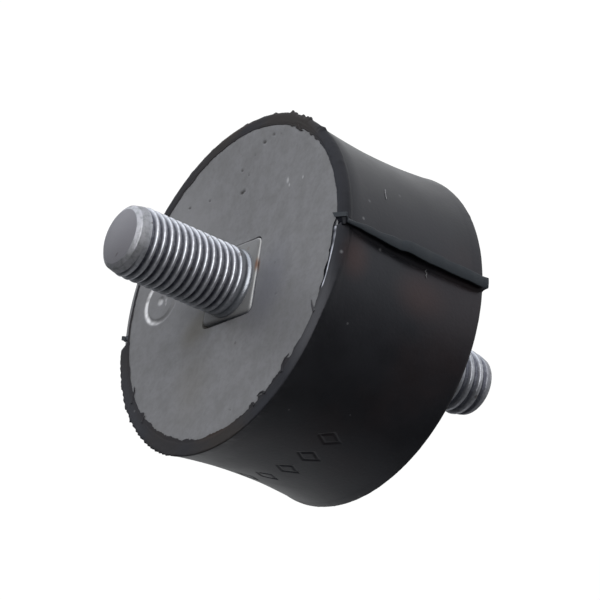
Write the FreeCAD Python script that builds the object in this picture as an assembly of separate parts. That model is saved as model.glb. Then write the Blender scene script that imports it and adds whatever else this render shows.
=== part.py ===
import FreeCAD, Part
import os

# Cylindrical rubber buffer mount with a metal plate and a threaded stud bonded in at each end.
# Millimetres. +Z runs along the mount's axis, the lower rim lies in the plane z = 0,
# and +X runs through the parting flash of the mould.

# Rubber body
RUBBER_DIAMETER = 50.0
RUBBER_HEIGHT = 25.0
WAIST_DEPTH = 0.85
RIM_BEVEL = 0.4
LIP_WIDTH = 2.1

# Parting flash, a fin left on each side where the two halves of the mould met
FIN_THICKNESS = 1.1
FIN_REACH_UPPER = 1.0
FIN_REACH_MIDDLE = 1.7
FIN_REACH_LOWER = 1.8
FIN_OVER_RIM = 0.25
FIN_INSET = 0.1

# End plates, each a little below the rim of its rubber lip
PLATE_THICKNESS = 2.0
PLATE_BELOW_RIM = 0.6

# Studs: a thread, a square neck in the plate's hole, and a tapered head inside the rubber
STUD_DIAMETER = 10.0
UPPER_STUD_REACH = 17.5
LOWER_STUD_REACH = 22.0
TIP_DIAMETER = 7.3
TIP_CHAMFER = 1.0
NECK_SIDE = 10.3
NECK_GAP = 0.2
NECK_CORNER_RADIUS = 0.5
NECK_TURN_DEG = -7.0
HEAD_DIAMETER = 20.0
HEAD_EDGE = 1.0
HEAD_HEIGHT = 3.2
HEAD_END_DIAMETER = 12.0

# Sizes that follow from the ones above
RUBBER_RADIUS = RUBBER_DIAMETER / 2
PLATE_RADIUS = RUBBER_RADIUS - LIP_WIDTH
STUD_RADIUS = STUD_DIAMETER / 2
TIP_RADIUS = TIP_DIAMETER / 2
HEAD_RADIUS = HEAD_DIAMETER / 2
HEAD_END_RADIUS = HEAD_END_DIAMETER / 2
PLATE_FACE_Z = -PLATE_BELOW_RIM
HEAD_SEAT_Z = PLATE_FACE_Z - PLATE_THICKNESS

ORIGIN = FreeCAD.Vector(0, 0, 0)
X_AXIS = FreeCAD.Vector(1, 0, 0)
Z_AXIS = FreeCAD.Vector(0, 0, 1)


def at(x, z):
    return FreeCAD.Vector(x, 0, z)


def outline(points):
    return Part.makePolygon(points + [points[0]])


def lathe(points):
    return Part.Face(outline(points)).revolve(ORIGIN, Z_AXIS, 360)


def arc(start, middle, end):
    return Part.Arc(start, middle, end).toShape()


def rounded_square(side, corner_radius, bottom_z, top_z):
    height = top_z - bottom_z
    block = Part.makeBox(side, side, height)
    block.translate(FreeCAD.Vector(-side / 2, -side / 2, bottom_z))
    upright = [e for e in block.Edges if abs(e.BoundBox.ZLength - height) < 1e-6]
    block = block.makeFillet(corner_radius, upright)
    block.rotate(ORIGIN, Z_AXIS, NECK_TURN_DEG)
    return block


# The plates and studs are drawn with their rim plane at z = 0 and the stud pointing up,
# then set on the upper end or turned over onto the lower end.

def on_upper_end(shape):
    placed = shape.copy()
    placed.translate(FreeCAD.Vector(0, 0, RUBBER_HEIGHT))
    return placed


def on_lower_end(shape):
    placed = shape.copy()
    placed.rotate(ORIGIN, X_AXIS, 180)
    return placed


def disc(bottom_z, top_z):
    return Part.makeCylinder(PLATE_RADIUS, top_z - bottom_z, at(0, bottom_z))


def end_plate():
    hole_side = NECK_SIDE + 2 * NECK_GAP
    hole_corner = NECK_CORNER_RADIUS + NECK_GAP
    hole = rounded_square(hole_side, hole_corner, HEAD_SEAT_Z - 1, PLATE_FACE_Z + 1)
    return disc(HEAD_SEAT_Z, PLATE_FACE_Z).cut(hole)


def tapered_head():
    edge_z = HEAD_SEAT_Z - HEAD_EDGE
    end_z = HEAD_SEAT_Z - HEAD_HEIGHT
    return lathe([
        at(0, HEAD_SEAT_Z),
        at(HEAD_RADIUS, HEAD_SEAT_Z),
        at(HEAD_RADIUS, edge_z),
        at(HEAD_END_RADIUS, end_z),
        at(0, end_z),
    ])


def shank(reach):
    chamfer_z = reach - TIP_CHAMFER
    return lathe([
        at(0, PLATE_FACE_Z),
        at(STUD_RADIUS, PLATE_FACE_Z),
        at(STUD_RADIUS, chamfer_z),
        at(TIP_RADIUS, reach),
        at(0, reach),
    ])


def stud(reach):
    neck = rounded_square(NECK_SIDE, NECK_CORNER_RADIUS, HEAD_SEAT_Z, PLATE_FACE_Z)
    return tapered_head().fuse([neck, shank(reach)]).removeSplitter()


def moulded_cylinder():
    top = RUBBER_HEIGHT
    rim_x = RUBBER_RADIUS - RIM_BEVEL
    waist_x = RUBBER_RADIUS - WAIST_DEPTH
    waist_start = at(RUBBER_RADIUS, RIM_BEVEL)
    waist_end = at(RUBBER_RADIUS, top - RIM_BEVEL)
    ends = Part.makePolygon([waist_end, at(rim_x, top), at(0, top), at(0, 0), at(rim_x, 0), waist_start])
    waist = arc(waist_start, at(waist_x, top / 2), waist_end)
    section = Part.Face(Part.Wire(ends.Edges + [waist]))
    return section.revolve(ORIGIN, Z_AXIS, 360)


def parting_fin():
    inner_x = PLATE_RADIUS + FIN_INSET
    low_z = -FIN_OVER_RIM
    high_z = RUBBER_HEIGHT + FIN_OVER_RIM
    low = at(RUBBER_RADIUS + FIN_REACH_LOWER, low_z)
    middle = at(RUBBER_RADIUS - WAIST_DEPTH + FIN_REACH_MIDDLE, RUBBER_HEIGHT / 2)
    high = at(RUBBER_RADIUS + FIN_REACH_UPPER, high_z)
    root = Part.makePolygon([high, at(inner_x, high_z), at(inner_x, low_z), low])
    side = Part.Face(Part.Wire(root.Edges + [arc(low, middle, high)]))
    fin = side.extrude(FreeCAD.Vector(0, FIN_THICKNESS, 0))
    fin.translate(FreeCAD.Vector(0, -FIN_THICKNESS / 2, 0))
    return fin


def rubber_body():
    fin = parting_fin()
    opposite_fin = fin.copy()
    opposite_fin.rotate(ORIGIN, Z_AXIS, 180)
    body = moulded_cylinder().fuse([fin, opposite_fin])
    # The rubber fills the space between the plates and lies against both heads.
    pocket = disc(HEAD_SEAT_Z, FIN_OVER_RIM).fuse(tapered_head())
    body = body.cut([on_upper_end(pocket), on_lower_end(pocket)])
    return body.removeSplitter()


def only_solid(shape):
    assert len(shape.Solids) == 1
    return shape.Solids[0]


pieces = {
    "rubber_body": rubber_body(),
    "upper_plate": on_upper_end(end_plate()),
    "lower_plate": on_lower_end(end_plate()),
    "upper_stud": on_upper_end(stud(UPPER_STUD_REACH)),
    "lower_stud": on_lower_end(stud(LOWER_STUD_REACH)),
}

os.makedirs("parts", exist_ok=True)
for name, shape in pieces.items():
    solid = only_solid(shape)
    solid.exportStep(f"parts/{name}.step")
    print(name, round(solid.Volume), solid.isValid())
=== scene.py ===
from math import atan2, cos, degrees, hypot, pi, radians, sin, sqrt, tan

import bmesh
import bpy
from mathutils import Matrix, Vector, noise


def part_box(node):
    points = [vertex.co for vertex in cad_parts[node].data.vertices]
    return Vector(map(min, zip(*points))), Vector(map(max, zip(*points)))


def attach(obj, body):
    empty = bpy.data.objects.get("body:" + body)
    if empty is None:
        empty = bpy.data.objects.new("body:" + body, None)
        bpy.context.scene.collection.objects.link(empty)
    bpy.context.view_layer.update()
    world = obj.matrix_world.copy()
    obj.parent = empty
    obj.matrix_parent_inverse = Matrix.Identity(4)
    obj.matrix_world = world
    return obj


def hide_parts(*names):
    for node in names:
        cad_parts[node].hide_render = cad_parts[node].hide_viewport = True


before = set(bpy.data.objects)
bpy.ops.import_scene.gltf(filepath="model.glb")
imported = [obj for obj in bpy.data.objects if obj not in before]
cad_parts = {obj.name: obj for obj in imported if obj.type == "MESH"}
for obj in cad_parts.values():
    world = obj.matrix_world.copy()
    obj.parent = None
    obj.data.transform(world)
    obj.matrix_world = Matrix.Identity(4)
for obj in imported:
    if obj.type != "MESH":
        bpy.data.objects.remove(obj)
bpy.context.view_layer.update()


# The studs
# Two M10 studs of cold-rolled steel, plated with bright zinc. Each is pressed through its plate
# from inside, so a square neck sits in the plate's square hole and a wide head stays in the rubber.
# The thread is rolled, fades into a plain collar above the neck, and ends in a turned chamfer.
MM = 0.001
STUD_DIAMETER = 10.0
TIP_DIAMETER = 7.6
TIP_CHAMFER = 0.4
TAPER_DIAMETER = 8.8
TAPER_LENGTH = 2.4
PLATE_THICKNESS = 2.0
# The head's radii, and how far below the plate's inner face each one is.
HEAD_PROFILE = [(6.0, 3.2), (10.0, 1.0), (10.0, 0.0)]
NECK_SIDE = 11.0
NECK_CORNER = 0.8
NECK_TURN = radians(-7.0)
NECK_SUNK = 0.42
NECK_SHIFT = (0.05, 0.28)
# How far in from its side, and how far down from its top, the neck's worn edge is rounded.
NECK_ROUNDING = [(0.0, 0.34), (0.05, 0.16), (0.16, 0.06), (0.4, 0.0)]
THREAD_SIDES = 144
SAMPLES_PER_TURN = 16
FURROW_DEPTH = 0.28


def millimetres(node):
    low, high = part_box(node)
    return low / MM, high / MM


def smooth_step(low, high, value):
    t = min(1.0, max(0.0, (value - low) / (high - low)))
    return t * t * (3 - 2 * t)


def square_reach(azimuth, side, corner, turn):
    """Distance from the axis to a rounded square's edge, in the direction of an azimuth."""
    half = side / 2
    across = (azimuth - turn + pi / 4) % (pi / 2) - pi / 4
    across = abs(across)
    if half * tan(across) <= half - corner:
        return half / cos(across)
    centre = (half - corner) * sqrt(2)
    off = pi / 4 - across
    return centre * cos(off) + sqrt(corner ** 2 - (centre * sin(off)) ** 2)


def ring(azimuths, reach, z):
    """A closed loop round the axis. reach and z are numbers, or functions of the azimuth."""
    loop = []
    for a in azimuths:
        r = reach(a) if callable(reach) else reach
        height = z(a) if callable(z) else z
        loop.append((r * cos(a) * MM, r * sin(a) * MM, height * MM))
    return loop


def shifted(loop, shift):
    return [(x + shift[0] * MM, y + shift[1] * MM, z) for x, y, z in loop]


def skin(mesh, loops, closed=False):
    """Adds a closed shell through equal loops of points, with its ends capped or joined."""
    rows = [[mesh.verts.new(p) for p in loop] for loop in loops]
    faces = []
    pairs = list(zip(rows, rows[1:]))
    if closed:
        pairs.append((rows[-1], rows[0]))
    for a, b in pairs:
        for i in range(len(a)):
            j = (i + 1) % len(a)
            faces.append(mesh.faces.new((a[i], a[j], b[j], b[i])))
    if not closed:
        faces.append(mesh.faces.new(rows[0]))
        faces.append(mesh.faces.new(rows[-1]))
    bmesh.ops.recalc_face_normals(mesh, faces=faces)
    return rows


def float_layers(mesh, *names):
    return [mesh.verts.layers.float.new(name) for name in names]


def new_object(name, data):
    made = bpy.data.objects.new(name, data)
    bpy.context.collection.objects.link(made)
    return made


def new_piece(name, mesh, material, sharp_deg=None, place=None):
    """Makes a smooth-shaded object of a bmesh. Edges over the angle stay sharp."""
    for face in mesh.faces:
        face.smooth = True
    data = bpy.data.meshes.new(name)
    mesh.to_mesh(data)
    mesh.free()
    if sharp_deg:
        data.set_sharp_from_angle(angle=radians(sharp_deg))
    if place is not None:
        data.transform(place)
    data.materials.append(material)
    return new_object(name, data)


def on_end(z, face_up):
    """The place on the upper end, or turned over on the lower one, of what is drawn at z = 0."""
    place = Matrix.Translation((0, 0, z * MM))
    return place if face_up else place @ Matrix.Rotation(pi, 4, "X")


def evenly(count):
    return [2 * pi * i / count for i in range(count)]


def socket_or_value(tree, node, slot, value):
    if isinstance(value, bpy.types.NodeSocket):
        tree.links.new(value, node.inputs[slot])
    else:
        node.inputs[slot].default_value = value


def calculate(tree, operation, *values):
    node = tree.nodes.new("ShaderNodeMath")
    node.operation = operation
    for slot, value in enumerate(values):
        socket_or_value(tree, node, slot, value)
    return node.outputs[0]


def times(tree, a, b):
    return calculate(tree, "MULTIPLY", a, b)


def ease(tree, value, low, high):
    node = tree.nodes.new("ShaderNodeMapRange")
    node.interpolation_type = "SMOOTHSTEP"
    for slot, given in enumerate((value, low, high)):
        socket_or_value(tree, node, slot, given)
    return node.outputs[0]


def noise_texture(tree, vector, scale, detail, roughness=0.5):
    node = tree.nodes.new("ShaderNodeTexNoise")
    node.inputs["Detail"].default_value = detail
    node.inputs["Roughness"].default_value = roughness
    tree.links.new(vector, node.inputs["Vector"])
    socket_or_value(tree, node, "Scale", scale)
    return node.outputs[0]


def add_sockets(tree, in_out, kind, *names):
    for name in names:
        tree.interface.new_socket(name, in_out=in_out, socket_type="NodeSocket" + kind)


def rolled_thread_tree():
    tree = bpy.data.node_groups.new("rolled_thread", "GeometryNodeTree")
    add_sockets(tree, "INPUT", "Float", "Diameter", "Length", "Pitch", "Thread Depth", "Plain Collar",
                "Fade at Tip", "Tip Diameter", "Tip Chamfer", "Taper Diameter", "Taper Length")
    add_sockets(tree, "INPUT", "Int", "Sides", "Samples per Turn")
    add_sockets(tree, "INPUT", "Material", "Finish")
    add_sockets(tree, "OUTPUT", "Geometry", "Geometry")
    do = lambda operation, *values: calculate(tree, operation, *values)
    link = tree.links.new
    given = tree.nodes.new("NodeGroupInput").outputs
    radius = do("DIVIDE", given["Diameter"], 2.0)
    tip_radius = do("DIVIDE", given["Tip Diameter"], 2.0)
    turns = do("DIVIDE", given["Length"], given["Pitch"])

    rod = tree.nodes.new("GeometryNodeMeshCylinder")
    link(given["Sides"], rod.inputs["Vertices"])
    link(do("MULTIPLY", turns, given["Samples per Turn"]), rod.inputs["Side Segments"])
    link(radius, rod.inputs["Radius"])
    link(given["Length"], rod.inputs["Depth"])

    place = tree.nodes.new("GeometryNodeInputPosition")
    parts = tree.nodes.new("ShaderNodeSeparateXYZ")
    link(place.outputs[0], parts.inputs[0])
    x, y, z = parts.outputs
    height = do("ADD", z, do("DIVIDE", given["Length"], 2.0))

    # The groove climbs one pitch for each turn about the axis.
    turn = do("DIVIDE", do("ARCTAN2", y, x), 2 * pi)
    climb = do("SUBTRACT", do("DIVIDE", height, given["Pitch"]), turn)
    across = do("ABSOLUTE", do("MULTIPLY_ADD", do("FRACT", climb), 2.0, -1.0))
    groove = ease(tree, across, 0.16, 0.92)
    collar_end = do("MULTIPLY_ADD", given["Pitch"], 0.9, given["Plain Collar"])
    cut = do("MULTIPLY", groove, ease(tree, height, given["Plain Collar"], collar_end))
    from_tip = do("SUBTRACT", given["Length"], height)
    fade_start = do("MULTIPLY", given["Fade at Tip"], 0.7)
    cut = do("MULTIPLY", cut, ease(tree, from_tip, fade_start, given["Fade at Tip"]))
    threaded = do("SUBTRACT", radius, do("MULTIPLY", cut, given["Thread Depth"]))
    # A shallow groove sets the lowest ring of the collar apart.
    middle = do("MULTIPLY", given["Plain Collar"], 0.55)
    off_middle = do("ABSOLUTE", do("SUBTRACT", height, middle))
    furrow = ease(tree, off_middle, do("MULTIPLY", given["Plain Collar"], 0.4), 0.0)
    threaded = do("SUBTRACT", threaded, do("MULTIPLY", furrow, FURROW_DEPTH * MM))

    # The end is a short chamfer and then a long slight taper up to the full diameter.
    taper_radius = do("DIVIDE", given["Taper Diameter"], 2.0)
    slope = do("DIVIDE", do("SUBTRACT", taper_radius, tip_radius), given["Tip Chamfer"])
    chamfered = do("MULTIPLY_ADD", from_tip, slope, tip_radius)
    widening = do("DIVIDE", do("SUBTRACT", radius, taper_radius), given["Taper Length"])
    tapered = do("MULTIPLY_ADD", from_tip, widening, taper_radius)
    end = do("MINIMUM", chamfered, tapered)
    shrink = do("DIVIDE", do("MINIMUM", threaded, end), radius)

    moved = tree.nodes.new("ShaderNodeCombineXYZ")
    link(do("MULTIPLY", x, shrink), moved.inputs[0])
    link(do("MULTIPLY", y, shrink), moved.inputs[1])
    link(height, moved.inputs[2])
    shape = tree.nodes.new("GeometryNodeSetPosition")
    link(rod.outputs["Mesh"], shape.inputs["Geometry"])
    link(moved.outputs[0], shape.inputs["Position"])
    real = tree.nodes.new("GeometryNodeRealizeInstances")
    link(shape.outputs[0], real.inputs[0])
    finish = tree.nodes.new("GeometryNodeSetMaterial")
    link(real.outputs[0], finish.inputs["Geometry"])
    link(given["Finish"], finish.inputs["Material"])
    link(finish.outputs[0], tree.nodes.new("NodeGroupOutput").inputs[0])
    return tree


def threaded_rod(name, tree, settings):
    """Runs the tree on an empty object and returns its plain mesh, with its base at z = 0."""
    holder = new_object(name, bpy.data.meshes.new(name))
    modifier = holder.modifiers.new("thread", "NODES")
    modifier.node_group = tree
    for item in tree.interface.items_tree:
        if item.in_out == "INPUT":
            modifier[item.identifier] = settings[item.name]
    depsgraph = bpy.context.evaluated_depsgraph_get()
    mesh = bpy.data.meshes.new_from_object(holder.evaluated_get(depsgraph))
    bpy.data.objects.remove(holder)
    return mesh


# Every finish here is weathered in the same way: patches of tone, a fine grain, and specks.
def weathering_group():
    tree = bpy.data.node_groups.new("weathering", "ShaderNodeTree")
    for name, value in (
        ("Patch Scale", 200.0), ("Patch Low", 0.4), ("Patch High", 0.7), ("Grain Scale", 3000.0),
        ("Speck Scale", 600.0), ("Speck Size", 0.1), ("Speck Share", 0.3),
    ):
        tree.interface.new_socket(name, in_out="INPUT", socket_type="NodeSocketFloat").default_value = value
    add_sockets(tree, "INPUT", "Vector", "Vector")
    add_sockets(tree, "OUTPUT", "Float", "Patches", "Specks", "Grain")
    given = tree.nodes.new("NodeGroupInput").outputs
    result = tree.nodes.new("NodeGroupOutput").inputs

    patch = noise_texture(tree, given["Vector"], given["Patch Scale"], 5.0, 0.6)
    tree.links.new(ease(tree, patch, given["Patch Low"], given["Patch High"]), result["Patches"])
    grain = noise_texture(tree, given["Vector"], given["Grain Scale"], 3.0)
    tree.links.new(grain, result["Grain"])

    cells = tree.nodes.new("ShaderNodeTexVoronoi")
    tree.links.new(given["Vector"], cells.inputs["Vector"])
    tree.links.new(given["Speck Scale"], cells.inputs["Scale"])
    chosen = tree.nodes.new("ShaderNodeSeparateColor")
    tree.links.new(cells.outputs["Color"], chosen.inputs[0])
    speck = calculate(tree, "LESS_THAN", cells.outputs["Distance"],
                      times(tree, given["Speck Size"], chosen.outputs[1]))
    kept = calculate(tree, "LESS_THAN", chosen.outputs[0], given["Speck Share"])
    tree.links.new(times(tree, speck, kept), result["Specks"])
    return tree


WEATHERING = weathering_group()


def new_material(name, **settings):
    """A material with a Principled shader. The settings go to the weathering group's inputs."""
    material = bpy.data.materials.new(name)
    material.use_nodes = True
    tree = material.node_tree
    place = tree.nodes.new("ShaderNodeTexCoord").outputs["Object"]
    weather = tree.nodes.new("ShaderNodeGroup")
    weather.node_tree = WEATHERING
    tree.links.new(place, weather.inputs["Vector"])
    for key, value in settings.items():
        weather.inputs[key.replace("_", " ").title()].default_value = value
    return material, tree, tree.nodes["Principled BSDF"], weather.outputs, place


def tint(tree, factor, below, above):
    """Mixes two colours. Each is a socket or three numbers."""
    node = tree.nodes.new("ShaderNodeMix")
    node.data_type = "RGBA"
    socket_or_value(tree, node, 0, factor)
    for slot, colour in ((6, below), (7, above)):
        if not isinstance(colour, bpy.types.NodeSocket):
            colour = (*colour, 1.0)
        socket_or_value(tree, node, slot, colour)
    return node.outputs[2]


def blend_values(tree, factor, below, above):
    node = tree.nodes.new("ShaderNodeMix")
    for slot, value in ((0, factor), (2, below), (3, above)):
        socket_or_value(tree, node, slot, value)
    return node.outputs[0]


def relief(tree, shader, height, distance_mm, strength=1.0):
    bump = tree.nodes.new("ShaderNodeBump")
    bump.inputs["Strength"].default_value = strength
    bump.inputs["Distance"].default_value = distance_mm * MM
    tree.links.new(height, bump.inputs["Height"])
    tree.links.new(bump.outputs[0], shader.inputs["Normal"])


def stored(tree, name):
    node = tree.nodes.new("ShaderNodeAttribute")
    node.attribute_name = name
    return node.outputs["Fac"]


def distance_from_axis(tree, place):
    parts = tree.nodes.new("ShaderNodeSeparateXYZ")
    tree.links.new(place, parts.inputs[0])
    x, y = [calculate(tree, "ABSOLUTE", part) for part in parts.outputs[:2]]
    squared = calculate(tree, "ADD", calculate(tree, "POWER", x, 2.0), calculate(tree, "POWER", y, 2.0))
    return calculate(tree, "SQRT", squared)


# Stains, worn patches, and patches of painted light and shade are soft ovals at a place on the surface, in
# every finish.
def soft_spot_group():
    tree = bpy.data.node_groups.new("soft_spot", "ShaderNodeTree")
    names = ("Vector", "Centre", "Turn", "Half Size")
    add_sockets(tree, "INPUT", "Vector", *names)
    add_sockets(tree, "OUTPUT", "Float", "Mask")
    given = tree.nodes.new("NodeGroupInput").outputs
    mapping = tree.nodes.new("ShaderNodeMapping")
    mapping.vector_type = "TEXTURE"
    for name, slot in zip(names, ("Vector", "Location", "Rotation", "Scale")):
        tree.links.new(given[name], mapping.inputs[slot])
    ball = tree.nodes.new("ShaderNodeTexGradient")
    ball.gradient_type = "SPHERICAL"
    tree.links.new(mapping.outputs[0], ball.inputs["Vector"])
    tree.links.new(ease(tree, ball.outputs["Fac"], 0.0, 0.9), tree.nodes.new("NodeGroupOutput").inputs[0])
    return tree


SOFT_SPOT = soft_spot_group()


def spot(tree, place, colour, over, strength, centre, half_size, turn_deg=0.0):
    """Lays a soft oval of a colour over another. Centre and half sizes are in mm."""
    mask = tree.nodes.new("ShaderNodeGroup")
    mask.node_tree = SOFT_SPOT
    tree.links.new(place, mask.inputs["Vector"])
    mask.inputs["Centre"].default_value = [c * MM for c in centre]
    mask.inputs["Turn"].default_value = (0, 0, radians(turn_deg))
    mask.inputs["Half Size"].default_value = [h * MM for h in half_size]
    return tint(tree, times(tree, mask.outputs[0], strength), colour, over)


CREST_ZINC = (0.58, 0.59, 0.63)
GROOVE_PAINTED_SHADE = (0.118, 0.12, 0.15)
CUT_STEEL = (0.185, 0.182, 0.202)
RUST = (0.13, 0.055, 0.025)
LOWER_STUD_SHADE = (0.17, 0.185, 0.22)
NICK_DARK = (0.07, 0.06, 0.06)
COLLAR_ZINC = (0.26, 0.28, 0.31)
THREAD_DEPTH = 0.66


def stud_zinc():
    material, tree, shader, weather, place = new_material(
        "stud_zinc", patch_scale=1700.0, patch_low=0.42, patch_high=0.68, grain_scale=6000.0,
        speck_scale=900.0, speck_size=0.35, speck_share=0.12)
    crest = STUD_DIAMETER / 2 * MM
    # Painted shade: the thread's grooves are painted dark, rising to the zinc colour at the crests.
    groove_shade_to_crest = ease(tree, distance_from_axis(tree, place), crest - 0.85 * THREAD_DEPTH * MM, crest - 0.03 * MM)
    colour = tint(tree, groove_shade_to_crest, GROOVE_PAINTED_SHADE, CREST_ZINC)
    colour = tint(tree, times(tree, weather["Patches"], 0.55), colour, (0.28, 0.29, 0.32))
    # Painted shade: the whole lower stud is painted darker and bluer.
    colour = spot(tree, place, colour, LOWER_STUD_SHADE, 0.75, (0, 0, lower_face - 7.0), (14.0, 14.0, 18.0))
    colour = tint(tree, stored(tree, "cut_end"), colour, CUT_STEEL)
    colour = spot(tree, place, colour, COLLAR_ZINC, 0.8, (0, 0, upper_face + 0.3), (14.0, 14.0, 2.2))
    brushed = tint(tree, weather["Patches"], (0.42, 0.42, 0.45), (0.3, 0.31, 0.32))
    colour = tint(tree, stored(tree, "band"), colour, brushed)
    nick = (-0.2, -2.7, upper_face + 18.1)
    colour = spot(tree, place, colour, NICK_DARK, 0.8, nick, (0.55, 0.22, 0.5), 35.0)
    colour = tint(tree, stored(tree, "neck"), colour, (0.158, 0.159, 0.162))
    # Painted highlight on the neck's edge.
    colour = tint(tree, stored(tree, "neck_edge_highlight"), colour, (0.6, 0.6, 0.6))
    colour = spot(tree, place, colour, RUST, 0.95, (5.6, 1.0, upper_face - 0.4), (0.5, 1.5, 0.8), -7.0)
    colour = tint(tree, times(tree, weather["Specks"], 0.6), colour, (0.12, 0.10, 0.09))
    tree.links.new(colour, shader.inputs["Base Color"])
    rough = blend_values(tree, groove_shade_to_crest, 0.5, 0.35)
    rough = blend_values(tree, stored(tree, "band"), rough, 0.52)
    dull = calculate(tree, "MAXIMUM", stored(tree, "cut_end"), stored(tree, "neck"))
    tree.links.new(blend_values(tree, dull, rough, 0.55), shader.inputs["Roughness"])
    tree.links.new(blend_values(tree, dull, 0.88, 0.25), shader.inputs["Metallic"])
    relief(tree, shader, weather["Grain"], 0.045, 0.5)
    return material


upper_face = millimetres("upper_plate")[1].z
lower_face = millimetres("lower_plate")[0].z
STUD_ZINC = stud_zinc()
THREAD = rolled_thread_tree()


def make_stud(name, replaced, reach, thread, face_up):
    """A stud with its plate's outer face at z = 0 pointing up, then set on its own end."""
    lengths = {
        "Diameter": STUD_DIAMETER, "Length": reach + NECK_SUNK, "Pitch": thread["pitch"],
        "Thread Depth": THREAD_DEPTH, "Plain Collar": thread["collar"], "Fade at Tip": thread["fade"],
        "Tip Diameter": TIP_DIAMETER, "Tip Chamfer": TIP_CHAMFER,
        "Taper Diameter": TAPER_DIAMETER, "Taper Length": TAPER_LENGTH}
    settings = {key: value * MM for key, value in lengths.items()}
    settings.update({"Sides": THREAD_SIDES, "Samples per Turn": SAMPLES_PER_TURN, "Finish": STUD_ZINC})
    rod = threaded_rod(name, THREAD, settings)
    rod.transform(Matrix.Translation((0, 0, -NECK_SUNK * MM)))
    mesh = bmesh.new()
    mesh.from_mesh(rod)
    cut_end, band, neck, neck_edge_highlight = float_layers(mesh, "cut_end", "band", "neck", "neck_edge_highlight")
    for v in mesh.verts:
        v[cut_end] = float(v.co.z > (reach - 0.01) * MM)
        if not v[cut_end]:
            v[band] = smooth_step(thread["fade"], thread["fade"] * 0.7, reach - v.co.z / MM)
    around = evenly(120)
    sides = lambda inset: lambda a: square_reach(a, NECK_SIDE - 2 * inset, NECK_CORNER, NECK_TURN)
    loops = [ring(around, sides(0), -PLATE_THICKNESS - 0.2)]
    loops += [ring(around, sides(inset), -NECK_SUNK - drop) for inset, drop in NECK_ROUNDING]
    rows = skin(mesh, [shifted(loop, NECK_SHIFT) for loop in loops])
    for v in (v for row in rows[2:] for v in row):
        v[neck] = 1.0
    # A highlight is painted along the neck's edge on the side that faces +X, and a little beyond the next
    # corner.
    for v in rows[2]:
        here = degrees(atan2(v.co.y, v.co.x))
        highlight = 0.75 * smooth_step(53.0, 42.0, abs(here))
        if here > 42.0:
            highlight += 0.4 * smooth_step(85.0, 60.0, here)
        v[neck_edge_highlight] = highlight
    skin(mesh, [ring(around, r, -PLATE_THICKNESS - depth) for r, depth in HEAD_PROFILE])
    low, high = millimetres(replaced)
    face_z = high.z - reach if face_up else low.z + reach
    stud = new_piece(name, mesh, STUD_ZINC, 62, on_end(face_z, face_up))
    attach(stud, "root")
    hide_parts(replaced)


# Each thread's pitch, its plain collar's height, and where it fades before the tip, in mm.
UPPER_THREAD = {"pitch": 1.16, "collar": 1.4, "fade": 1.7}
LOWER_THREAD = {"pitch": 1.75, "collar": 1.4, "fade": 1.2}
upper_reach = millimetres("upper_stud")[1].z - upper_face
lower_reach = lower_face - millimetres("lower_stud")[0].z
make_stud("upper_stud_threaded", "upper_stud", upper_reach, UPPER_THREAD, True)
make_stud("lower_stud_threaded", "lower_stud", lower_reach, LOWER_THREAD, False)


# The plates
# Two discs of 2 mm sheet steel with dull zinc plating, punched with a square hole for the stud's neck.
# Pressing the neck in has drawn each plate in a little round its hole. Their edges run on under the
# rubber's lip. The upper one has a plain stamped ring and knocks with a painted highlight, a few pits painted
# dark as shade, a brown stain with the stud's shadow painted into it, and broad patches of painted light and
# shade.
PLATE_RADIUS = 23.85
PLATE_RISE = 0.48
PLATE_SINK = 0.55
HOLE_SIDE = 11.3
HOLE_CORNER = 0.9
HOLE_TURN = radians(-5.2)
HOLE_ROUND = 0.12
HOLE_SHIFT = (0.15, 0.05)
STAMP_CENTRE = (-16.3, 2.8)
STAMP_RADIUS = 3.3
STAMP_LINE = 0.45
STAMP_DEPTH = 0.16
# Pits: place, size and depth in mm. Knocks: place and size.
PITS = [(8.3, 20.0, 0.42, 0.10), (9.9, 19.4, 0.25, 0.06), (6.2, 19.7, 0.5, 0.12), (1.1, 17.3, 0.34, 0.10),
        (2.7, 16.0, 0.26, 0.08), (1.2, 13.7, 0.5, 0.14), (1.7, 13.8, 0.4, 0.1), (-6.3, 15.4, 0.32, 0.10),
        (-11.0, 16.0, 0.32, 0.10), (4.1, 18.6, 0.3, 0.04), (10.8, -5.6, 0.25, 0.06), (3.6, -20.3, 0.25, 0.07)]
KNOCKS = [(11.9, 11.3, 0.6), (15.4, 10.3, 0.35), (12.3, 10.4, 0.35), (-15.0, 2.6, 0.45), (-15.0, 2.0, 0.4)]
PLATE_TONE = (0.185, 0.185, 0.195)
PLATE_DARK = (0.155, 0.155, 0.158)
PLATE_PAINTED_LIGHT = (0.22, 0.22, 0.23)
BROWN_STAIN_AND_SHADOW = (0.125, 0.115, 0.095)
BLUE_PAINTED_SHADE = (0.125, 0.128, 0.15)


def dished(r):
    """Height of a plate's outer face over the plane of its CAD solid, at a distance from the axis."""
    hole, rim = 6.5, 22.5
    return -PLATE_SINK + (PLATE_RISE + PLATE_SINK) * min(1.0, max(0.0, (r - hole) / (rim - hole)))


def stamped(x, y):
    """How far the ring stamp and its dot press into the plate, from 0 to 1, at a point in mm."""
    off = hypot(x - STAMP_CENTRE[0], y - STAMP_CENTRE[1])
    line = 1 - smooth_step(STAMP_LINE * 0.4, STAMP_LINE, abs(off - STAMP_RADIUS))
    dot = 1 - smooth_step(0.35, 0.75, off)
    return max(line, dot)


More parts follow.
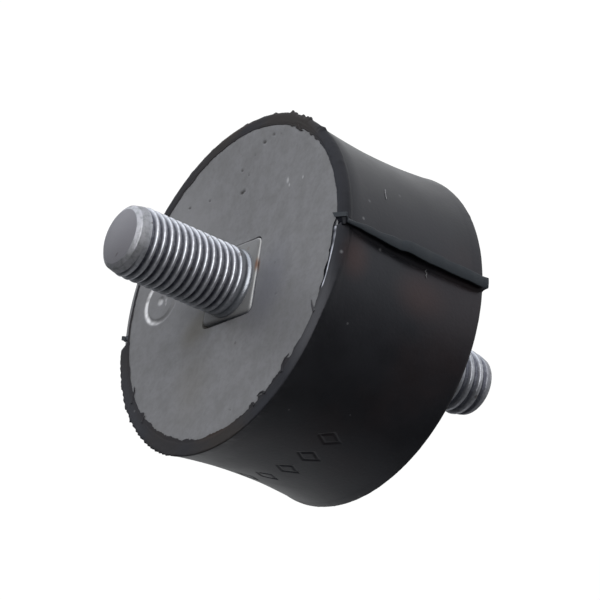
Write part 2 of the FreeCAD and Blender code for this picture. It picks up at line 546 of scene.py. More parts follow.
def painted_stamp_highlight(x, y):
    """Painted highlight on the stamp's edges, brightest on the side away from the stud, and on its dot and
    the knocks.
    """
    side = (STAMP_CENTRE[0] - x) / STAMP_RADIUS
    patchy = 0.8 + 0.9 * noise.noise(Vector((x * 1.3, y * 1.3, 2.0)))
    painted_highlight = stamped(x, y) * min(1.0, max(0.06, (0.25 + 0.85 * side) * patchy))
    off = hypot(x - STAMP_CENTRE[0], y - STAMP_CENTRE[1])
    painted_highlight = max(painted_highlight, 0.5 * (1 - smooth_step(0.2, 0.6, off)))
    for kx, ky, size in KNOCKS:
        painted_highlight = max(painted_highlight, 0.28 * (1 - smooth_step(size * 0.3, size, hypot((x - kx) * 1.6, y - ky))))
    return painted_highlight


def pitted(x, y):
    deepest = 0.0
    shade = 0.0
    for px, py, size, depth in PITS:
        along = (x - px) * 0.943 - (y - py) * 0.334
        across = (x - px) * 0.334 + (y - py) * 0.943
        off = hypot(along * 0.9, across * 1.7)
        hole = 1 - smooth_step(size * 0.4, size, off)
        deepest = max(deepest, hole * depth)
        shade = max(shade, hole * min(1.0, depth * 9))
    return deepest, shade


def plate_zinc():
    material, tree, shader, weather, place = new_material(
        "plate_zinc", patch_scale=420.0, patch_low=0.3, patch_high=0.75, grain_scale=2600.0,
        speck_scale=420.0, speck_size=0.12, speck_share=0.2)
    colour = tint(tree, times(tree, weather["Patches"], 0.7), PLATE_TONE, PLATE_DARK)
    fine = noise_texture(tree, place, 1700.0, 2.0)
    fine_mask = times(tree, ease(tree, fine, 0.4, 0.75), 0.35)
    colour = tint(tree, fine_mask, colour, (0.13, 0.13, 0.135))
    colour = tint(tree, times(tree, weather["Specks"], 0.6), colour, (0.08, 0.075, 0.07))
    # Painted light: a broad paler patch on the plate's -X side.
    colour = spot(tree, place, colour, PLATE_PAINTED_LIGHT, 0.8, (-13.0, 9.0, upper_face), (15.0, 18.0, 9.0), 30.0)
    # A brown stain below the stud, with the stud's soft shadow painted into it.
    colour = spot(tree, place, colour, BROWN_STAIN_AND_SHADOW, 0.75, (-6.9, -4.4, upper_face), (5.8, 4.0, 9.0), 28.0)
    colour = spot(tree, place, colour, BROWN_STAIN_AND_SHADOW, 0.3, (-6.5, -13.0, upper_face), (6.0, 9.0, 9.0), 10.0)
    # Painted shade: a darker, bluer patch on the plate beside the neck's +X side.
    colour = spot(tree, place, colour, BLUE_PAINTED_SHADE, 0.6, (8.8, -3.2, upper_face), (6.0, 9.0, 9.0), -20.0)
    colour = spot(tree, place, colour, RUST, 0.8, (5.95, 0.6, upper_face - 0.4), (0.5, 1.6, 1.0), -7.0)
    # Painted shade: the pits are painted dark inside.
    colour = tint(tree, stored(tree, "pit_shade"), colour, (0.04, 0.037, 0.037))
    # Painted highlight on the stamp, its dot and the knocks.
    colour = tint(tree, stored(tree, "painted_highlight"), colour, (0.85, 0.85, 0.87))
    tree.links.new(colour, shader.inputs["Base Color"])
    shader.inputs["Metallic"].default_value = 0.25
    tree.links.new(blend_values(tree, weather["Patches"], 0.5, 0.62), shader.inputs["Roughness"])
    relief(tree, shader, weather["Grain"], 0.02, 0.5)
    return material


PLATE_ZINC = plate_zinc()


def make_plate(name, replaced, around_count, row_count, face_up, marked):
    low, high = millimetres(replaced)
    thickness = high.z - low.z
    around = evenly(around_count)

    def hole(a):
        return square_reach(a, HOLE_SIDE, HOLE_CORNER, HOLE_TURN)

    def surface(a, share):
        inner = hole(a) + HOLE_ROUND
        return inner + (PLATE_RADIUS - inner) * share

    def height(a, share):
        r = surface(a, share)
        x, y = r * cos(a), r * sin(a)
        swell = dished(r) + 0.03 * noise.noise(Vector((x * 0.12, y * 0.12, 5.0)))
        if not marked:
            return swell
        return swell - STAMP_DEPTH * stamped(x, y) - pitted(x, y)[0]

    loops = []
    for row in range(row_count + 1):
        share = row / row_count
        loop = ring(around, lambda a: surface(a, share), lambda a: height(a, share))
        loops.append(shifted(loop, [shift * (1 - share) for shift in HOLE_SHIFT]))
    loops.append(ring(around, PLATE_RADIUS, -thickness))
    loops.append(shifted(ring(around, hole, -thickness), HOLE_SHIFT))
    loops.append(shifted(ring(around, hole, -PLATE_SINK - HOLE_ROUND), HOLE_SHIFT))
    mesh = bmesh.new()
    pit_shade, painted_highlight = float_layers(mesh, "pit_shade", "painted_highlight")
    rows = skin(mesh, loops, closed=True)
    if marked:
        for v in (v for row in rows[:row_count + 1] for v in row):
            x, y = v.co.x / MM, v.co.y / MM
            v[pit_shade] = pitted(x, y)[1]
            v[painted_highlight] = painted_stamp_highlight(x, y)
    plate = new_piece(name, mesh, PLATE_ZINC, 40, on_end(high.z if face_up else low.z, face_up))
    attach(plate, "root")
    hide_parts(replaced)


make_plate("upper_plate_sheet", "upper_plate", 600, 96, True, True)
make_plate("lower_plate_sheet", "lower_plate", 240, 30, False, False)


# The rubber
# Black natural rubber, moulded in two halves round the plates and the studs' heads and bonded to them.
# It is slightly waisted. The rims are bevelled, with thin flash at the edge and a torn feather of
# rubber over each plate's edge. A row of plain recessed lozenges marks the middle of one mould half.
RUBBER_RADIUS = 25.0
RUBBER_HEIGHT = 25.0
WAIST = 0.85
RIM_BEVEL = 0.4
CRISP_BEVEL = 0.2
SOFT_BEVEL = 0.9
# The corner's loops: bevels in and down from it, shares of the flash and the dent, and the share of the
# rim's colour and dullness where the corner is crisp and where it is soft.
RIM_CORNER = [(0.5, 0.16, 0.6, 1.0, (1.0, 0.4), (1.0, 1.0)), (0.14, 0.55, 1.0, 0.9, (0.8, 0.1), (0.8, 0.95)),
              (0.02, 1.0, 0.8, 0.7, (0.0, 0.0), (0.3, 0.8)), (0.0, 1.45, 0.1, 0.3, (0.0, 0.0), (0.0, 0.5))]
LIP_INNER = 23.02
LIP_SHIFT = 0.2
LIP_SHIFT_AZIMUTH = radians(10.0)
POCKET_RADIUS = 23.9
# Between these azimuths, above the near parting line, the lip was moulded wider than elsewhere.
WIDE_LIP = 0.5
WIDE_LIP_FROM = 0.2
WIDE_LIP_TO = 70.0
LOZENGE_AZIMUTHS = [-66.8, -77.2, -87.8, -98.6, -109.2]
LOZENGE_LENGTH = 3.4
LOZENGE_WIDTH = 2.1
LOZENGE_LINE = 0.24
LOZENGE_DEPTH = 0.12
RIM_HEIGHT = 1.5
FINE_STEP = 0.13
COARSE_STEP = 0.4
FINE_STEP_DEG = 0.28
COARSE_STEP_DEG = 0.56
# Tears at the rim: azimuth and width in degrees, and how far each stands out, in mm.
OUTER_BURRS = [(61.0, 1.0, 0.42), (59.0, 0.9, 0.25), (54.5, 0.5, 0.25), (51.6, 0.6, 0.3), (50.3, 0.5, 0.4),
               (41.0, 0.5, 0.4), (43.0, 0.5, 0.15), (71.0, 0.8, 0.18), (87.0, 1.0, 0.16), (105.0, 1.2, 0.12),
               (117.0, 1.2, 0.14), (-150.0, 1.0, 0.2), (-144.0, 0.9, 0.2), (-160.0, 1.2, 0.15)]
INNER_FEATHERS = [(-163.0, 3.0, 0.3), (-139.0, 1.5, 0.6), (-131.0, 6.0, 0.45), (-118.0, 12.0, 0.5),
                  (-103.0, 4.0, 0.4), (-98.0, 1.2, 0.05), (-88.0, 5.0, 0.3), (-63.5, 1.3, 0.75),
                  (-68.5, 1.2, 0.55), (-55.0, 5.0, 0.45), (-48.5, 2.0, 0.8), (-42.0, 3.0, 0.35),
                  (-22.0, 1.5, 0.2), (-16.0, 3.0, 0.35), (53.0, 2.2, 0.45), (44.0, 1.2, 0.3),
                  (40.0, 1.4, 0.35), (98.0, 1.5, 0.2), (118.0, 3.0, 0.35)]
SAW_TEETH_FROM = -176.0
SAW_TEETH_TO = -108.0
SAW_TOOTH_DEG = 2.7
# One mould half was worn where it met the other, so the rim is drawn in beside the parting line.
DENT_FROM = 138.0
DENT_FULL = 163.0
DENT_TO = 186.0
DENT_STEP = 2.5
DENT_DEPTH = 0.7


def angle_between(a_deg, b_deg):
    return (a_deg - b_deg + 180.0) % 360.0 - 180.0


def tears(azimuth, table):
    here = degrees(azimuth)
    total = 0.0
    for at, width, reach in table:
        off = abs(angle_between(here, at)) / width
        if off < 1.0:
            total = max(total, reach * (1.0 - off ** 3))
    return total


def wander(azimuth, per_turn, seed):
    """Smooth noise round the axis, from about -1 to 1."""
    return 1.6 * noise.noise(Vector((cos(azimuth) * per_turn, sin(azimuth) * per_turn, seed)))


def outer_flash(azimuth, seed):
    here = degrees(azimuth)
    fine = max(0.0, wander(azimuth, 40.0, seed)) * 0.03 + max(0.0, wander(azimuth, 14.0, seed + 3)) * 0.03
    if seed < 10:
        fine *= 2.0
        fine += tears(azimuth, OUTER_BURRS)
        into = angle_between(here, SAW_TEETH_FROM)
        span = SAW_TEETH_TO - SAW_TEETH_FROM
        if 0 < into < span:
            ramp = smooth_step(0, 8, into) * smooth_step(0, 8, span - into)
            fine += 0.24 * ramp * (1 - (into / SAW_TOOTH_DEG + 0.25 * wander(azimuth, 9.0, 31.0)) % 1.0)
    return fine


def mould_dent(azimuth):
    here = degrees(azimuth) % 360.0
    end = smooth_step(DENT_TO, DENT_TO - DENT_STEP, here)
    return DENT_DEPTH * smooth_step(DENT_FROM, DENT_FULL, here) * end


def soft_corner(azimuth):
    """The rim's outer corner is fuller beside the near parting line, from 0 to 1."""
    here = degrees(azimuth)
    return smooth_step(-30.0, -8.0, here) * smooth_step(62.0, 35.0, here)


def rim_bevel(azimuth):
    """The upper rim's bevel is widest beside the near parting line and narrow on the near mould half."""
    here = degrees(azimuth)
    crisp = smooth_step(-20.0, -34.0, here) * smooth_step(-128.0, -112.0, here)
    far_half = smooth_step(62.0, 85.0, here) + smooth_step(DENT_TO - 360.0, DENT_TO - DENT_STEP - 360.0, here)
    bevel = RIM_BEVEL + (CRISP_BEVEL - RIM_BEVEL) * crisp + 0.3 * far_half
    return bevel + (SOFT_BEVEL - bevel) * soft_corner(azimuth)


def under_strip(azimuth):
    """A hollow beside the near fin, under its strip, painted black as shade, from 0 to 1."""
    here = degrees(azimuth)
    return smooth_step(-1.2, -0.6, here) * smooth_step(1.8, 1.2, here)


def glint(azimuth):
    """The lip's inner edge shines beside the near fin: how brightly, and how far from the edge in mm."""
    here = degrees(azimuth)
    lit = smooth_step(-22.5, -21.0, here) * smooth_step(-0.8, -1.6, here)
    bright = 0.35 + 0.65 * smooth_step(-6.0, -10.0, here) + 0.5 * smooth_step(-3.0, -1.8, here)
    return lit * bright, lit * (0.1 + 0.4 * smooth_step(-16.0, -2.0, here))


def lip_edge(azimuth, seed):
    """Radius of the rim's inner edge, and how far the torn feather reaches in from it."""
    here = degrees(azimuth)
    shift = 0.0
    if seed < 10:
        shift = LIP_SHIFT * cos(azimuth - LIP_SHIFT_AZIMUTH)
        wide = smooth_step(WIDE_LIP_FROM, WIDE_LIP_FROM + 2, here) * smooth_step(WIDE_LIP_TO, 30.0, here)
        shift += WIDE_LIP * wide
        shift -= 0.25 * smooth_step(-32.0, -20.0, here) * smooth_step(WIDE_LIP_FROM + 0.5, -1.0, here)
    edge = LIP_INNER + shift + 0.06 * wander(azimuth, 12.0, seed + 5)
    feather = 0.05 + max(0.0, wander(azimuth, 40.0, seed + 6)) * 0.16
    if seed < 10:
        feather = max(feather, tears(azimuth, INNER_FEATHERS) * (0.85 + 0.3 * wander(azimuth, 60.0, 77.0)))
    return edge, feather


def waisted(z):
    along = 2 * z / RUBBER_HEIGHT - 1
    return RUBBER_RADIUS - WAIST * (1 - along * along)


def lozenge_depth(azimuth, z):
    up_down = abs(z - RUBBER_HEIGHT / 2) / (LOZENGE_LENGTH / 2)
    if up_down > 1.3:
        return 0.0
    deepest = 0.0
    for centre in LOZENGE_AZIMUTHS:
        across = radians(angle_between(degrees(azimuth), centre)) * waisted(z)
        sideways = abs(across) / (LOZENGE_WIDTH / 2)
        if sideways < 1.5:
            # The distance from the outline of a lozenge, in mm.
            off = (up_down + sideways - 1) / hypot(2 / LOZENGE_LENGTH, 2 / LOZENGE_WIDTH)
            deepest = max(deepest, 1 - smooth_step(LOZENGE_LINE * 0.3, LOZENGE_LINE, abs(off)))
    return deepest * LOZENGE_DEPTH


def rim_rows(seed):
    """Radius and height of one end's loops, as functions of azimuth, from the inside out."""
    top = RUBBER_HEIGHT
    face = upper_face
    seat = face - PLATE_THICKNESS
    is_upper = seed < 10
    edge = lambda a: lip_edge(a, seed)[0]
    torn = lambda a: lip_edge(a, seed)[0] - lip_edge(a, seed)[1]
    over_plate = lambda r, gap: face + dished(r) + gap
    dent = lambda a: mould_dent(a) if is_upper else 0.0
    hollow = lambda a: 0.5 * under_strip(a) if is_upper else 0.0
    bevel = lambda a: rim_bevel(a) if is_upper else RIM_BEVEL
    flash = lambda a: outer_flash(a, seed)
    rows = [(r, seat - depth) for r, depth in HEAD_PROFILE]
    rows += [
        (POCKET_RADIUS, seat), (POCKET_RADIUS, face + 0.45), (torn, lambda a: over_plate(torn(a), 0.03)),
        (lambda a: torn(a) + 0.04, lambda a: over_plate(torn(a), 0.08)),
        (lambda a: edge(a) + 0.02, lambda a: over_plate(edge(a), 0.09)),
        (lambda a: edge(a) + 0.12, lambda a: top - 0.05 - hollow(a))]
    first = lambda a: edge(a) + 0.25 + (glint(a)[1] if is_upper else 0.0)
    last = lambda a: RUBBER_RADIUS - bevel(a) - dent(a)
    uneven = lambda a, s: 0.03 * wander(a, 6.0 + 5 * s, seed + 7) - 0.25 * dent(a) * s
    for step in range(6):
        rows.append((
            lambda a, s=step / 5: first(a) + (last(a) - first(a)) * s,
            lambda a, s=step / 5: top - 0.02 + uneven(a, s) - hollow(a)))
    for inward, down, flashed, dented, tones, dullness in RIM_CORNER:
        rows.append((
            lambda a, i=inward, f=flashed, d=dented:
                RUBBER_RADIUS - i * bevel(a) + f * flash(a) - d * dent(a),
            lambda a, w=down, f=flashed: top - w * bevel(a) + 0.1 * f * flash(a) - 0.35 * dent(a)))
    return rows


def side_heights():
    """Heights of the side's loops. They lie closer together where the lozenges are."""
    heights = []
    z = RUBBER_HEIGHT - RIM_HEIGHT
    while z > RIM_HEIGHT:
        heights.append(z)
        z -= FINE_STEP if abs(z - RUBBER_HEIGHT / 2) < 2.4 else COARSE_STEP
    return heights


def side_radius(azimuth, z):
    swell = 0.05 * noise.noise(Vector((cos(azimuth) * 4, sin(azimuth) * 4, z * 0.2)))
    return waisted(z) + swell - lozenge_depth(azimuth, z)


def rubber_azimuths():
    steps = []
    a = -180.0
    while a < 179.7:
        steps.append(radians(a))
        a += FINE_STEP_DEG if -113.0 < a < -63.0 else COARSE_STEP_DEG
    return steps


def moulded_rubber(mesh):
    around = rubber_azimuths()
    loops = [ring(around, r, z) for r, z in rim_rows(1)]
    for z in side_heights():
        loops.append(ring(around, lambda a, z=z: side_radius(a, z), z))
    for r, z in reversed(rim_rows(20)):
        below = (lambda a, z=z: RUBBER_HEIGHT - z(a)) if callable(z) else RUBBER_HEIGHT - z
        loops.append(ring(around, r, below))
    return skin(mesh, loops)


def tube(mesh, centres, count, section):
    """Adds a tube along a line of points in mm. section gives its two axes and its radius at a point."""
    loops = []
    for i, centre in enumerate(centres):
        run = (centres[min(i + 1, len(centres) - 1)] - centres[max(i - 1, 0)]).normalized()
        wide, high, radius = section(i, centre, run)
        loops.append([(centre + (wide * cos(t) + high * sin(t)) * radius) * MM
                      for t in evenly(count)])
    return skin(mesh, loops)


# Torn shreds of rubber that lie on the plate beside the lip: points on the plate, in mm.
SHREDS = [[(14.5, -18.4), (14.48, -17.4), (14.9, -16.6), (15.7, -16.2)],
          [(11.3, -20.4), (10.75, -20.0), (10.2, -19.95), (9.6, -20.25)],
          [(9.2, -21.5), (8.9, -21.0), (8.5, -20.9)],
          [(-20.1, -12.3), (-20.05, -11.3), (-19.8, -10.4), (-20.0, -9.7)],
          [(-16.9, -16.2), (-16.7, -15.6), (-16.3, -15.3)],
          [(13.9, 18.9), (14.3, 18.1), (15.0, 17.7)],
          [(20.34, -11.76), (20.0, -11.14), (19.7, -10.54), (19.55, -9.84)]]


def shred(mesh, points):
    centres = [Vector((x, y, upper_face + dished(hypot(x, y)) + 0.1)) for x, y in points]

    def flattened(i, centre, run):
        half = 0.26 * (1 - 0.75 * i / (len(centres) - 1))
        return run.cross(Vector((0, 0, 1))).normalized(), Vector((0, 0, 0.5)), half

    return tube(mesh, centres, 10, flattened)


# Each side of the rubber has a fin of flash where the mould halves met. It is about a millimetre
# thick and runs on over the upper rim as a strip. Its edge was trimmed by hand, so it is wavy.
FIN_ROOT_HALF = 0.6
STRIP_HALF = 0.33
STRIP_SLOPE = -0.35
# From a fin's low end to its high end, the share of its length, its reach, and its tip's two sides.
NEAR_FIN = {"azimuth": 0.0, "seed": 2.0, "low": 0.3, "lean": 0.0, "strip_radius": 23.0, "strip_side": 1.2,
            "tips": [(0.0, 1.3, 0.4, -1.2), (0.25, 1.5, 0.6, -1.15), (0.5, 1.75, 0.68, -1.1),
                     (0.56, 1.7, 0.62, -1.1), (0.61, 1.45, 0.42, -1.1), (0.8, 1.3, 0.12, -0.95),
                     (1.0, 0.9, -0.35, -0.8)]}
# The far fin leans aside near its top, where only a small nub of it is left over the rim.
FAR_FIN = {"azimuth": pi, "seed": 6.0, "low": -0.22, "lean": 0.6,
           "strip_radius": 23.3, "strip_side": 1.0,
           "tips": [(0.0, 1.75, 0.6, -0.6), (0.5, 1.5, 0.6, -0.6), (0.8, 1.0, 0.6, -0.4),
                    (1.0, -0.55, 1.1, 0.35)]}


def between(table, share):
    """The values of a table of rows, each led by a share, at a share between them."""
    for below, above in zip(table, table[1:]):
        if share <= above[0]:
            along = smooth_step(below[0], above[0], share)
            return [a + (b - a) * along for a, b in zip(below[1:], above[1:])]
    return table[-1][1:]


def fin_section(fin, z, share):
    """Distance from the axis and offset to the side of each point of a fin's section."""
    body = waisted(min(RUBBER_HEIGHT, max(0.0, z)))
    reach, upper, lower = between(fin["tips"], share)
    reach += 0.1 * noise.noise(Vector((share * 14.0, fin["seed"], 0.0)))
    upper += 0.16 * noise.noise(Vector((share * 10.0, fin["seed"], 4.0)))
    lower += 0.16 * noise.noise(Vector((share * 8.0, fin["seed"], 8.0)))
    tip = body + reach
    if z > RUBBER_HEIGHT - 0.12:
        start = fin["strip_radius"]
        at_rim = min(body - 0.1, tip - 0.4)
        radii = [start, start + 0.5, min(body - 0.4, tip - 0.6), at_rim, tip - 0.3, tip, tip + 0.02]
        side = lambda r: fin["strip_side"] + STRIP_SLOPE * (r - start)
        over = [(r, side(r) + STRIP_HALF) for r in radii]
        return over + [(r, side(r) - STRIP_HALF) for r in reversed(radii[1:])]
    root = FIN_ROOT_HALF + fin["lean"] * smooth_step(RUBBER_HEIGHT - 3.0, RUBBER_HEIGHT, z)
    foot = smooth_step(RUBBER_HEIGHT - 0.5, RUBBER_HEIGHT - 3.0, z)
    body = min(body, tip - 0.8)
    return [
        (body - 0.5, root), (body - 0.05, root * 0.95), (tip - 0.35, root * 0.2 + upper * 0.8),
        (tip - 0.08, upper), (tip, upper - 0.12), (tip + 0.03, (upper + lower) / 2),
        (tip - 0.02, lower + 0.1), (tip - 0.08, lower), (tip - 0.45, lower + 0.02),
        (body + 0.35, lower - 0.02), (body + 0.08, lower - 0.16 * foot),
        (body - 0.14, lower - 0.4 * foot), (body - 0.5, lower - 0.4 * foot)]


def pointing(azimuth, elevation=0.0):
    """The unit vector that points away from the origin at these angles."""
    level = cos(elevation)
    return Vector((level * cos(azimuth), level * sin(azimuth), sin(elevation)))


def parting_fin(mesh, fin):
    low, high = fin["low"], RUBBER_HEIGHT + 0.22
    outward = pointing(fin["azimuth"])
    sideways = Vector((-outward.y, outward.x, 0))
    count = 120
    loops = []
    for i in range(count + 1):
        z = low + (high - low) * i / count
        section = fin_section(fin, z, i / count)
        loops.append([(outward * r + sideways * s) * MM + Vector((0, 0, z * MM)) for r, s in section])
    return skin(mesh, loops)


RUBBER_BLACK = (0.004, 0.004, 0.005)
RUBBER_GREY = (0.009, 0.009, 0.011)
RUBBER_RUSTY = (0.03, 0.013, 0.01)
RIM_CHARCOAL = (0.014, 0.0145, 0.018)
RIM_LIGHTER_GREY = (0.06, 0.06, 0.065)
RIM_WARM = (0.022, 0.018, 0.0145)
RIM_INNER = (0.0135, 0.0105, 0.0095)
RIM_BROWN = (0.035, 0.02, 0.012)
FLASH_GREEN = (0.0085, 0.0125, 0.015)
DUST = (0.12, 0.12, 0.125)
DUST_SPECKS = [(12.1, 19.85, 0.6), (22.7, 13.3, 0.5), (-3.6, 17.9, 0.7), (4.0, 21.2, 0.9), (-10.4, 24.5, 1.0)]


def black_rubber():
    material, tree, shader, weather, place = new_material(
        "black_rubber", patch_scale=90.0, patch_low=0.35, patch_high=0.7, grain_scale=2200.0,
        speck_scale=520.0, speck_size=0.12, speck_share=0.14)
    colour = tint(tree, weather["Patches"], RUBBER_BLACK, RUBBER_GREY)
    rusty = noise_texture(tree, place, 60.0, 4.0)
    rusty_mask = times(tree, ease(tree, rusty, 0.52, 0.72), 0.25)
    colour = tint(tree, rusty_mask, colour, RUBBER_RUSTY)
    colour = spot(tree, place, colour, RUBBER_RUSTY, 1.0, (24.2, -4.2, 22.0), (4.0, 4.0, 3.5))
    colour = spot(tree, place, colour, RUBBER_RUSTY, 0.8, (23.8, -5.0, 10.0), (6.0, 4.5, 6.0))
    for azimuth, z, strength in DUST_SPECKS:
        at = pointing(radians(azimuth)) * waisted(z)
        colour = spot(tree, place, colour, DUST, strength, (at.x, at.y, z), (0.35, 0.35, 0.35))
    rim = tint(tree, ease(tree, rusty, 0.4, 0.62), RIM_CHARCOAL, RIM_WARM)
    # The rim is lighter and bluer grey on its -Y side, most towards +X.
    rim = spot(tree, place, rim, RIM_LIGHTER_GREY, 0.9, (20.5, -12.5, 25.0), (6.0, 10.0, 9.0), -25.0)
    rim = spot(tree, place, rim, RIM_LIGHTER_GREY, 0.25, (-20.5, -12.5, 25.0), (6.0, 13.0, 9.0), 25.0)
    off_lip = ease(tree, distance_from_axis(tree, place), 23.0 * MM, 23.9 * MM)
    rim = tint(tree, blend_values(tree, off_lip, 0.55, 1.0), RIM_INNER, rim)
    rim = spot(tree, place, rim, RIM_BROWN, 0.8, (-1.0, 25.2, 24.8), (16.0, 1.6, 3.0))
    rim = spot(tree, place, rim, RIM_BROWN, 0.6, (1.5, -22.6, 24.9), (6.0, 1.2, 3.0), 5.0)
    colour = tint(tree, stored(tree, "rim"), colour, rim)
    colour = tint(tree, stored(tree, "flash"), colour, FLASH_GREEN)
    colour = tint(tree, times(tree, weather["Specks"], 0.5), colour, DUST)
    # Painted shade: the hollow under the near strip, a thin line inside the glint, and the fins' roots and a
    # line under their edges are painted black.
    colour = tint(tree, stored(tree, "hollow"), colour, (0.002, 0.002, 0.003))
    colour = tint(tree, stored(tree, "glint"), colour, (0.6, 0.62, 0.7))
    tree.links.new(colour, shader.inputs["Base Color"])
    # A black metal gives back no light at all, so the painted shade is as dark as the bottom of a narrow
    # hollow.
    tree.links.new(stored(tree, "hollow"), shader.inputs["Metallic"])
    rough = blend_values(tree, weather["Patches"], 0.28, 0.38)
    rough = blend_values(tree, stored(tree, "dull"), rough, 0.85)
    tree.links.new(blend_values(tree, stored(tree, "glint"), rough, 0.25), shader.inputs["Roughness"])
    shader.inputs["Specular IOR Level"].default_value = 0.5
    shader.inputs["Specular Tint"].default_value = (0.87, 0.89, 1.0, 1.0)
    relief(tree, shader, weather["Grain"], 0.03, 0.5)
    return material


rubber_mesh = bmesh.new()
rim_layer, flash_layer, glint_layer, dull_layer, painted_shade_layer = float_layers(
    rubber_mesh, "rim", "flash", "glint", "dull", "hollow")
moulded = moulded_rubber(rubber_mesh)
fins = [parting_fin(rubber_mesh, NEAR_FIN), parting_fin(rubber_mesh, FAR_FIN)]
shreds = [shred(rubber_mesh, points) for points in SHREDS]
for row in moulded[4:15] + moulded[-15:-4] + [row for rows in shreds for row in rows]:
    for v in row:
        v[rim_layer] = 1.0
        v[dull_layer] = 1.0
for step, (inward, down, flashed, dented, tones, dullness) in enumerate(RIM_CORNER):
    for v in moulded[15 + step]:
        soft = soft_corner(atan2(v.co.y, v.co.x))
        v[rim_layer] = tones[0] + (tones[1] - tones[0]) * soft
        v[dull_layer] = dullness[0] + (dullness[1] - dullness[0]) * soft
    for v in moulded[-16 - step]:
        v[rim_layer] = tones[0]
        v[dull_layer] = dullness[0]
for step, row in enumerate(moulded[19:25]):
    for v in row:
        v[dull_layer] = 0.45 * (1 - step / 6) * soft_corner(atan2(v.co.y, v.co.x))
# The hollow under the strip, and a thin line between the plate's edge and the glint, are painted black as
# shade.
for index, row in enumerate(moulded[6:15]):
    for v in row:
        here = atan2(v.co.y, v.co.x)
        v[painted_shade_layer] = under_strip(here)
        if index < 3:
            v[painted_shade_layer] = max(v[painted_shade_layer], 0.9 * smooth_step(0.0, 0.05, glint(here)[1]))
for v in moulded[9]:
    here = atan2(v.co.y, v.co.x)
    v[glint_layer] = glint(here)[0] * max(0.0, 1.0 + 0.5 * wander(here, 30.0, 50.0))
# Under the strip and near the rim, each fin's root is painted black as shade, as if lost in the hollow, and
# so is a thin line just under each fin's edge; the rest of its underside is as black as the side.
for fin in fins:
    for row in fin:
        height = row[0].co.z / MM
        for index, v in enumerate(row):
            on_strip = height > RUBBER_HEIGHT + 0.1
            in_painted_shade = RUBBER_HEIGHT - 0.8 < height and v.co.x < (RUBBER_RADIUS - 0.1) * MM and not on_strip
            if height > RUBBER_HEIGHT and index < 7:
                in_painted_shade = False
            v[flash_layer] = 1.0 if on_strip or (index < 8 and not in_painted_shade) else 0.0
            v[painted_shade_layer] = 0.95 if in_painted_shade or (index == 8 and not on_strip) else 0.0
            v[dull_layer] = 0.5 * v[flash_layer]
rubber = new_piece("moulded_rubber", rubber_mesh, black_rubber(), 48)
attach(rubber, "root")
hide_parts("rubber_body")


# Lint
# Two short pale textile fibres that cling to the rubber's side, one nearly straight and one curled.
FIBRE_RADIUS = 0.045
FIBRES = [
    {"azimuth": 19.2, "z": 16.3, "points": [(0.95, -0.1), (0.35, 0.05), (-0.3, 0.1), (-0.9, 0.15)]},
    {"azimuth": -3.9, "z": 9.6,
     "points": [(0.85, -0.2), (0.4, 0.12), (0.05, 0.3), (-0.15, 0.0), (-0.5, 0.1), (-0.8, -0.05)]},
]


def fibre(mesh, azimuth_deg, z, points):
    """A thin tube over the rubber. Points are mm along the rim and up, from the fibre's place."""
    centres = []
    for along, up_by in points:
        height = z + up_by
        radius = waisted(height) + 0.06
        a = radians(azimuth_deg) + along / radius
        centres.append(Vector((radius * cos(a), radius * sin(a), height)))

    def rounded(i, centre, run):
        across = run.cross(Vector((centre.x, centre.y, 0)).normalized()).normalized()
        return across, across.cross(run), FIBRE_RADIUS * (1.6 if i == 0 else 1.0)

    tube(mesh, centres, 8, rounded)


def pale_lint():
    material, tree, shader, weather, place = new_material("pale_lint", patch_scale=3000.0)
    colour = tint(tree, weather["Patches"], (0.16, 0.16, 0.17), (0.32, 0.32, 0.33))
    tree.links.new(colour, shader.inputs["Base Color"])
    shader.inputs["Roughness"].default_value = 0.9
    return material


lint_mesh = bmesh.new()
for strand in FIBRES:
    fibre(lint_mesh, strand["azimuth"], strand["z"], strand["points"])
lint = new_piece("lint", lint_mesh, pale_lint())
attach(lint, "root")


# The stage
# A pale floor well below the mount, which is held up by its lower stud, in a soft white room that is
# brightest above and behind the mount as the photograph has it, with one large lamp above the plate.
CAMERA_AIM = Vector((0.91, 1.43, 12.51))
CAMERA_DISTANCE = 272.0
CAMERA_AZIMUTH = radians(-32.70)
CAMERA_ELEVATION = radians(32.75)
CAMERA_ROLL = radians(66.61)
CAMERA_LENS = 116.16
ROOM_DIM = 0.07
ROOM_BRIGHT = 1.9
FLOOR_GLOW = 1.07
FLOOR_GLOW_SHARE = 0.93
FLOOR_Z = -0.14
FLOOR_DARK_AT = -0.11
FLOOR_PALE_AT = 0.12
FLOOR_MAIN = Vector((0.14, 0.99, 0.0))
FLOOR_SIDE_DARK_AT = 0.02
FLOOR_SIDE_PALE_AT = 0.22
FLOOR_SIDE = Vector((-0.97, -0.26, 0.0))

back = pointing(CAMERA_AZIMUTH, CAMERA_ELEVATION)
level_right = (-back).cross(Vector((0, 0, 1))).normalized()
level_up = level_right.cross(-back)
up = level_up * cos(CAMERA_ROLL) + level_right * sin(CAMERA_ROLL)
right = up.cross(back)
camera = new_object("camera", bpy.data.cameras.new("camera"))
camera.data.sensor_width = 36.0
camera.data.lens = CAMERA_LENS
camera.data.clip_start = 0.01
turned = Matrix((right, up, back)).transposed().to_4x4()
camera.matrix_world = Matrix.Translation((CAMERA_AIM + back * CAMERA_DISTANCE) * MM) @ turned
bpy.context.scene.camera = camera

BRIGHT_SIDE = (up * 0.8 - back * 0.6).normalized()
KEY_AZIMUTH = radians(10.0)
KEY_ELEVATION = radians(50.0)
KEY_DISTANCE = 1.0
KEY_SIZE = 1.07
KEY_POWER = 10.4
key_direction = pointing(KEY_AZIMUTH, KEY_ELEVATION).normalized()
lamp = new_object("key_lamp", bpy.data.lights.new("key_lamp", "AREA"))
lamp.data.size = KEY_SIZE
lamp.data.energy = KEY_POWER
lamp.location = CAMERA_AIM * MM + key_direction * KEY_DISTANCE
lamp.rotation_euler = key_direction.to_track_quat("Z", "Y").to_euler()


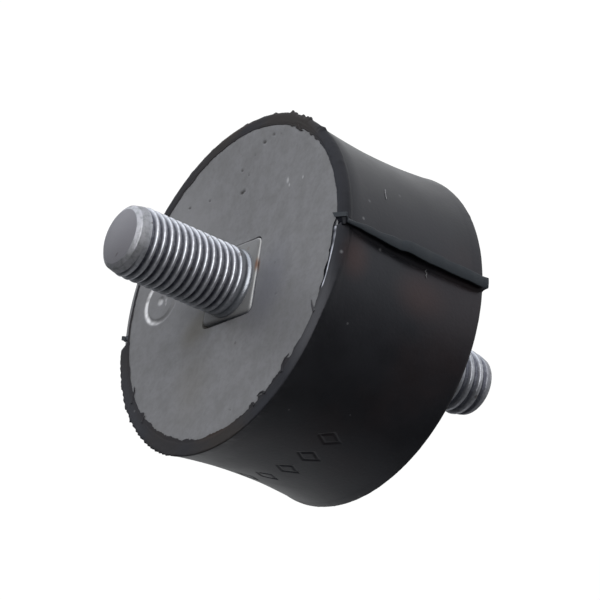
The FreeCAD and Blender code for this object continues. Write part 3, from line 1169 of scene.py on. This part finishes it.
def along(tree, vector, direction):
    node = tree.nodes.new("ShaderNodeVectorMath")
    node.operation = "DOT_PRODUCT"
    tree.links.new(vector, node.inputs[0])
    node.inputs[1].default_value = direction
    return node.outputs["Value"]


world = bpy.data.worlds.new("room")
bpy.context.scene.world = world
world.use_nodes = True
room = world.node_tree
toward = room.nodes.new("ShaderNodeTexCoord").outputs["Generated"]
glow = blend_values(room, ease(room, along(room, toward, BRIGHT_SIDE), 0.15, 1.0), ROOM_DIM, ROOM_BRIGHT)
seen = room.nodes.new("ShaderNodeLightPath").outputs["Is Camera Ray"]
room.links.new(tint(room, seen, (0.93, 0.96, 1.0), (1.0, 1.0, 1.0)), room.nodes["Background"].inputs["Color"])
room.links.new(blend_values(room, seen, glow, 1.0), room.nodes["Background"].inputs["Strength"])

# The floor is pale on the room's bright side and shades to dark on the other, as under a black card, so
# that the rubber's near side stays dark. To the camera it is nearly white all over.
pale = bpy.data.materials.new("pale_floor")
pale.use_nodes = True
ground = pale.node_tree
nodes, links = ground.nodes, ground.links
matt = nodes["Principled BSDF"]
place = nodes.new("ShaderNodeTexCoord").outputs["Object"]
main_ramp = ease(ground, along(ground, place, FLOOR_MAIN), FLOOR_DARK_AT, FLOOR_PALE_AT)
side_ramp = ease(ground, along(ground, place, FLOOR_SIDE), FLOOR_SIDE_DARK_AT, FLOOR_SIDE_PALE_AT)
shade = calculate(ground, "MAXIMUM", main_ramp, times(ground, side_ramp, 0.5))
links.new(tint(ground, shade, (0.13, 0.13, 0.13), (0.85, 0.85, 0.85)), matt.inputs["Base Color"])
matt.inputs["Roughness"].default_value = 0.9
shining = nodes.new("ShaderNodeEmission")
shining.inputs["Strength"].default_value = FLOOR_GLOW
mix = nodes.new("ShaderNodeMixShader")
seen = nodes.new("ShaderNodeLightPath").outputs["Is Camera Ray"]
links.new(times(ground, seen, FLOOR_GLOW_SHARE), mix.inputs[0])
links.new(matt.outputs[0], mix.inputs[1])
links.new(shining.outputs[0], mix.inputs[2])
links.new(mix.outputs[0], nodes["Material Output"].inputs["Surface"])

floor_mesh = bmesh.new()
floor_level = Matrix.Translation((0, 0, FLOOR_Z))
bmesh.ops.create_grid(floor_mesh, x_segments=4, y_segments=4, size=3.0, matrix=floor_level)
floor = new_piece("floor", floor_mesh, pale)

bpy.context.scene.view_settings.view_transform = "Standard"
